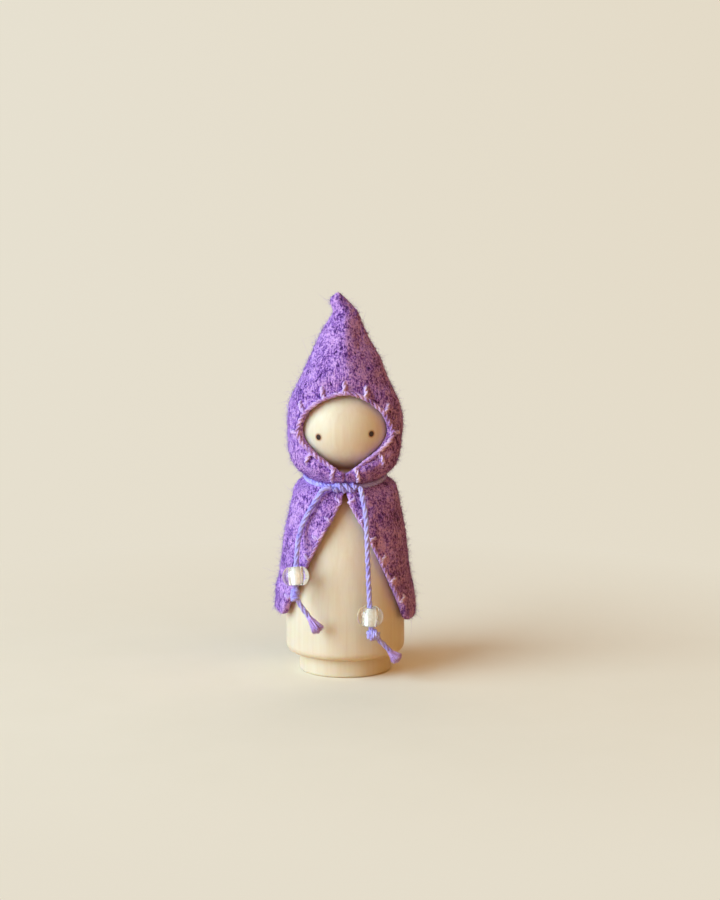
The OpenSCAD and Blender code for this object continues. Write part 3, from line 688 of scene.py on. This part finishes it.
def face_edge(t):
    """A place on the edge of the face opening, at an angle from its top."""
    rise = FACE_TOP - FACE_WIDE if abs(t) <= 90 else FACE_WIDE - FACE_LOW
    z = FACE_WIDE + rise * math.cos(math.radians(t))
    return math.copysign(float(open_half(min(z, FACE_TOP))), t), z


def front_edge(side, s):
    """A place on a front edge of the cape, at a share of its height."""
    z = HEM_Z + CORNER_R + s * (SPLIT_Z - HEM_Z - CORNER_R)
    return side * float(open_half(z)), z


def seam_stitch(shape, low, high):
    """Whip stitches over the back seam between two heights."""
    count = int((high - low) // SEAM_PITCH)
    pitch = (high - low) / count
    points = []
    for k in range(count):
        for side, down, depth in WHIP_STITCH:
            z = high - k * pitch - down * pitch
            points.append(felt(180 + math.degrees(side * SEAM_HALF / float(outline(z))), z, depth))
    shape.twisted(smooth_path(points, THREAD_STEP), SEAM_GIRTH, pitch=1.8, plies=2, sides=6, uneven=0.15)


def turned_to(direction):
    """Axes with the third along a direction, as the solids are turned."""
    d = np.array(direction, float) / np.linalg.norm(direction)
    tilt, turn = math.acos(d[2]), math.atan2(d[1], d[0])
    x = np.array([math.cos(turn) * math.cos(tilt), math.sin(turn) * math.cos(tilt), -math.sin(tilt)])
    return np.stack([x, np.cross(d, x), d])


def lining(name, at, direction, leaning, body):
    """Silver sleeve in the hole of a bead that leans on its cord."""
    rx, ry = np.radians(leaning)
    spin_x = np.array([[1, 0, 0], [0, math.cos(rx), -math.sin(rx)], [0, math.sin(rx), math.cos(rx)]])
    spin_y = np.array([[math.cos(ry), 0, math.sin(ry)], [0, 1, 0], [-math.sin(ry), 0, math.cos(ry)]])
    axes = (spin_y @ spin_x).T @ turned_to(direction)
    n, m = LINING_SIDES, len(LINING)
    local = np.array([(r * math.cos(a), r * math.sin(a), z)
                      for a in np.linspace(0, FULL_TURN, n, endpoint=False) for r, z in LINING])
    faces = [(i * m + k, ((i + 1) % n) * m + k, ((i + 1) % n) * m + (k + 1) % m, i * m + (k + 1) % m)
             for i in range(n) for k in range(m)]
    return piece(name, local @ axes + np.array(at), faces, "lining", body, "glass")


def stopper(name, at, direction, girth, reach, body, node):
    """Turns of cord side by side round the tail."""
    shape = Shape()
    u = np.linspace(0, 1, WRAP_STEPS)
    a = FULL_TURN * WRAP_TURNS * u + WRAP_START
    bulge = girth * (1 - WRAP_BULGE + WRAP_BULGE * np.sin(np.pi * u))
    local = np.stack([bulge * np.cos(a), bulge * np.sin(a), reach * (2 * u - 1)], -1)
    shape.twisted(smooth_path(local @ turned_to(direction) + np.array(at), WRAP_STEP), WRAP_GIRTH, WRAP_PITCH)
    return from_shape(name, shape, "cord", body, "cord", [node])


def tail(name, route, fray_l, body, solids, seed):
    """A hanging end of the cord with its frayed tuft, and the path to the tuft's end."""
    rng = np.random.default_rng(seed)
    shape, tuft = Shape(), Shape()
    path = smooth_path(route, CORD_STEP)
    shape.twisted(path, CORD_R, TAIL_PITCH, turn=seed, uneven=0.1)
    end = path[-1]
    axes = turned_to(end - path[-4])
    u = np.linspace(0, 1, STRAND_STEPS)
    for k in range(STRANDS):
        a, spread = rng.uniform(0, FULL_TURN), math.sqrt(rng.random())
        a = a + CLUMP_PULL * (round(a / CLUMP) * CLUMP - a)
        flare = 0.34 * spread + (0.7 * spread + 0.06) * u**1.3 + 0.08 * np.sin(5 * u + k)
        wave = 0.1 * rng.normal(size=2)[None] * (u**2)[:, None]
        reach = fray_l * rng.uniform(0.8, 1.0) * (1 - 0.2 * spread**3)
        local = np.stack([flare * math.cos(a) + wave[:, 0], flare * math.sin(a) + wave[:, 1],
                          -TUFT_ROOT + (reach + TUFT_ROOT) * u], -1)
        tuft.tube(local @ axes + end, STRAND_R * (1 - STRAND_TAPER * u), 4)
    obj = two_toned(name, shape, tuft, ("cord", "tuft"), body, "cord", solids)
    full = np.concatenate([path, [end + axes[2] * fray_l * k / 4 for k in (1, 2, 3, 4)]])
    return obj, full


def cord_end(side, route, fray_l, bead_at, bead_axis, leaning, knot_at, knot_axis, girth, reach, seed):
    """A tail, the knot under its bead and the lining of the bead's hole."""
    body = f"{side}_tail"
    cord, path = tail(f"tail_{side}_cord", route, fray_l, body, [f"tail_{side}", f"frayed_end_{side}"], seed)
    wraps = stopper(f"stopper_{side}_wraps", knot_at, knot_axis, girth, reach, body, f"stopper_knot_{side}")
    sleeve = lining(f"bead_{side}_lining", bead_at, bead_axis, leaning, f"{side}_bead")


for name, look in (("peg_body", "wood"), ("eye_left", "eye"), ("eye_right", "eye"), ("bead_left", "glass"),
                   ("bead_right", "glass")):
    nodes[name].data.materials.clear()
    nodes[name].data.materials.append(LOOKS[look])

felt_verts, felt_faces, n_outer = build_felt()
felt_piece = piece("felt_hooded_cape", felt_verts, felt_faces, "felt", "cape", "felt", ["hooded_cape"])
outer_faces = felt_faces[:n_outer]
short = fuzz(felt_verts, outer_faces, count=21500, length=(0.3, 0.9), radius=0.022, up=(0.12, 0.6), seed=3)
nap = piece("felt_nap", *short, "fuzz", "cape", "felt")
loose = Shape()
loose.add(*fuzz(felt_verts, outer_faces, count=900, length=(0.9, 2.2), radius=0.017, up=(0.4, 1.1), seed=4))
loose.add(*fuzz(felt_verts, outer_faces, count=900, length=(1.2, 2.8), radius=0.018, up=(0.04, 0.25), seed=6))
hairs = from_shape("felt_hairs", loose, "fuzz", "cape", "felt")

stitches, legs = Shape(), Shape()
for edge, leg, girth, proud in (
        ([front_edge(-1, s) for s in np.linspace(0.12, 0.92, 11)], 1.3, 0.32, 0.2),
        ([face_edge(t) for t in np.linspace(-150, 150, 21)], 2.4, 0.4, 0.42),
        ([front_edge(1, s) for s in np.linspace(0.92, 0.12, 11)], 1.3, 0.32, 0.2)):
    blanket_stitch(stitches, legs, edge, leg, girth, proud)
edge_piece = two_toned("blanket_stitches", stitches, legs, ("thread", "legs"), "cape", "thread", ["edge_stitching"])
seam = Shape()
seam_stitch(seam, HEM_Z, GROOVE_Z - SEAM_OFF)
seam_stitch(seam, GROOVE_Z + SEAM_OFF, POINT_Z - TIP_SOLID - FELT_T)
seam_piece = from_shape("seam_stitches", seam, "legs", "cape", "thread", ["back_seam_stitching"])

ring = Shape()
knot_half = math.asin(KNOT_GAP_HALF / RING_R)
turns = np.linspace(knot_half, FULL_TURN - knot_half, RING_STEPS)
ring_x, ring_y = RING_R * np.sin(turns), -RING_R * np.cos(turns)
ring_path = np.stack([ring_x, ring_y * math.cos(CORD_TILT), GROOVE_Z + ring_y * math.sin(CORD_TILT)], -1)
ring.twisted(ring_path, CORD_R, RING_PITCH)
from_shape("neck_cord_plies", ring, "cord", "cape", "cord", ["neck_cord"])
knot = Shape()
for phase in (0, math.pi):
    u = np.linspace(0, 1, KNOT_STEPS)
    a = phase + FULL_TURN * KNOT_TURNS * u
    strand = np.stack([KNOT_L * (u - 0.5), KNOT_Y + KNOT_R * np.cos(a), KNOT_Z + KNOT_R * np.sin(a)], -1)
    knot.twisted(strand, CORD_R, RING_PITCH)
from_shape("front_half_knot", knot, "cord", "cape", "cord", ["front_knot"])

cord_end("left", TAIL_LEFT, fray_l=3.1, bead_at=BEAD_LEFT_AT, bead_axis=BEAD_LEFT_AXIS, leaning=(-8, 4),
         knot_at=(-8.9, -12.25, 16.4), knot_axis=(0.1, 0.3, 2.1), girth=0.48, reach=0.98, seed=5)
cord_end("right", TAIL_RIGHT, fray_l=2.3, bead_at=(4.5, -12.7, 12.5), bead_axis=(-0.5, 1, 12.5), leaning=(6, -6),
         knot_at=(5.05, -12.8, 9.15), knot_axis=(1, 0, 0.3), girth=0.66, reach=0.85, seed=8)

# Stage: a pale floor that sweeps up behind, soft light from the left and a camera at the photograph's angle
FLOOR_HALF, FLOOR_FRONT, BEND_Y, BEND_R, WALL_TOP = 1.1, -0.9, 0.45, 0.25, 1.2
bend = [(BEND_Y + BEND_R * math.sin(a), BEND_R - BEND_R * math.cos(a)) for a in np.linspace(0.1, np.pi / 2, 14)]
sweep = [(FLOOR_FRONT, 0.0), (BEND_Y, 0.0)] + bend + [(BEND_Y + BEND_R, WALL_TOP)]
mesh = bpy.data.meshes.new("floor")
mesh.from_pydata([(x, y, z) for y, z in sweep for x in (-FLOOR_HALF, FLOOR_HALF)], [],
                 [(2 * i, 2 * i + 1, 2 * i + 3, 2 * i + 2) for i in range(len(sweep) - 1)])
mesh.polygons.foreach_set("use_smooth", [True] * len(mesh.polygons))
mesh.materials.append(LOOKS["floor"])
floor = bpy.data.objects.new("floor", mesh)
bpy.context.scene.collection.objects.link(floor)


def aim(obj, place, target):
    """Put a light or the camera at a place and point it at a target."""
    bpy.context.scene.collection.objects.link(obj)
    obj.location = place
    obj.rotation_euler = (Vector(target) - Vector(place)).to_track_quat("-Z", "Y").to_euler()


for name, place, height, size, power, colour in (
        ("key", (-0.51, -0.31, 0.27), 0.03, 0.66, 7.6, (0.64, 0.86, 1.0)),
        ("warm_fill", (0.3, -0.42, 0.36), 0.02, 1.0, 1.65, (1.0, 0.54, 0.16)),
        ("back_fill", (0.02, 0.5, 0.26), 0.04, 0.8, 1.25, (1.0, 0.86, 0.72))):
    light = bpy.data.lights.new(name, "AREA")
    light.shape = "DISK"
    light.size = size
    light.energy = power
    light.color = colour
    aim(bpy.data.objects.new(name, light), place, (0, 0, height))

# Room: dim warm light all round, which looks as pale as the floor's far end, with the same painted shade to the
# right
world = bpy.data.worlds.new("soft_room")
world.use_nodes = True
room = Nodes(world.node_tree, "Generated")
warm = room.tree.nodes["Background"]
warm.inputs["Color"].default_value = (1.0, 0.56, 0.24, 1)
warm.inputs["Strength"].default_value = 0.12
across = room.math("ADD", room.along("X"), 0.5)
pale = room.add("Background", {"Color": room.ramp(across, (0.352, PAPER_LIT_LEFT), (0.685, PAPER_SHADED_RIGHT))})
room.blend(room.seen(), warm, pale, "World Output")
bpy.context.scene.world = world

ELEVATION, DISTANCE, TARGET = math.radians(9.3), 0.47, Vector((0.0027, 0, 0.04055))
camera = bpy.data.objects.new("camera", bpy.data.cameras.new("camera"))
camera.data.sensor_fit = "VERTICAL"
camera.data.sensor_height = 36
camera.data.lens = 103.4
aim(camera, TARGET + DISTANCE * Vector((0, -math.cos(ELEVATION), math.sin(ELEVATION))), TARGET)
bpy.context.scene.camera = camera
bpy.context.scene.view_settings.view_transform = "Standard"
